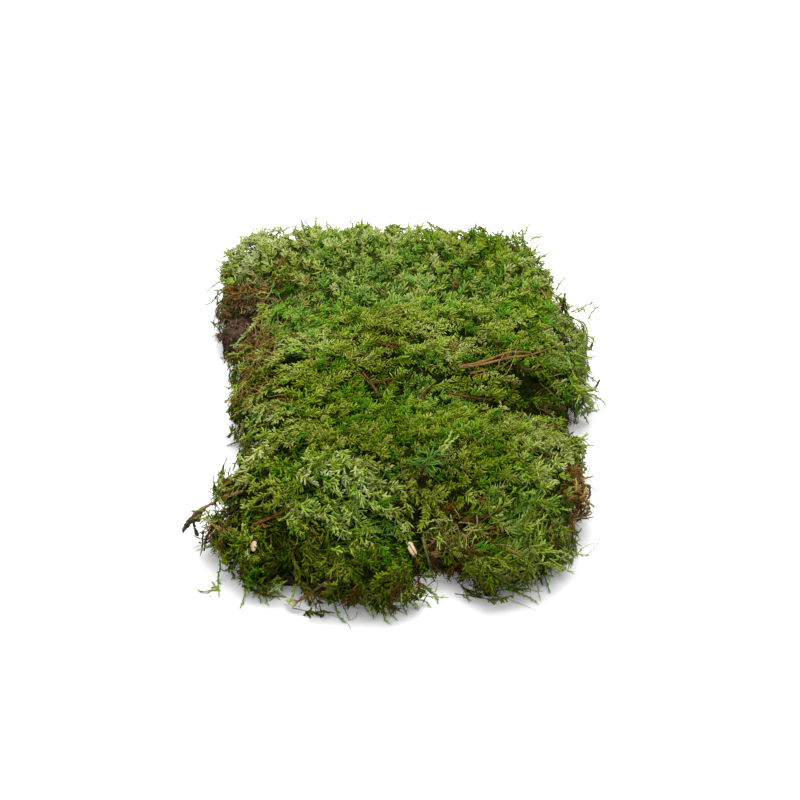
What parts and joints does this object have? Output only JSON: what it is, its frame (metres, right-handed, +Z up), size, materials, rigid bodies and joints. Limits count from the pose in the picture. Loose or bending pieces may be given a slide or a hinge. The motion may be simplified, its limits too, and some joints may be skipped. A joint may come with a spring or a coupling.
{
  "type": "moss clump",
  "caption": "Irregular clump of living feather moss on a pad of dark humus, with low swells and crevices, fallen needles, twigs and bark, cut off flat underneath.",
  "frame": {"origin": "on the flat cut under the clump, near its middle", "axes": "+Z is up, away from the cut; -Y is the front that faces the camera; +X is to the right seen from the front"},
  "size_m": [0.2804, 0.36, 0.0646],
  "materials": {
    "moss": "damp living feather moss, soft and fibrous",
    "humus": "dark crumbly humus, matt",
    "needle": "dry tan pine needle, satin",
    "twig": "reddish brown twig, matt",
    "bark": "dark damp bark, matt",
    "wood_chip": "bare pale wood",
    "sprig": "fresh green leaf, satin",
    "leaf": "thin withered leaf"
  },
  "bodies": {
    "root": {"moss_carpet": "moss", "humus_base": "humus", "pine_needle_pair": "needle", "pine_needle_1": "needle", "pine_needle_2": "needle", "pine_needle_3": "needle", "pine_needle_4": "needle", "pine_needle_5": "needle", "pine_needle_6": "bark", "twig_1": "twig", "twig_2": "twig", "twig_3": "twig", "twig_4": "bark", "twig_5": "bark", "twig_6": "bark", "twig_7": "twig", "twig_8": "bark", "twig_9": "bark", "twig_10": "bark", "forked_twig": "twig", "barked_twig": "bark", "bark_bit": "bark", "wood_chip_1": "wood_chip", "wood_chip_2": "wood_chip", "conifer_sprig": "sprig", "grass_blade": "sprig", "leaf_scrap": "leaf"}
  },
  "joints": []
}
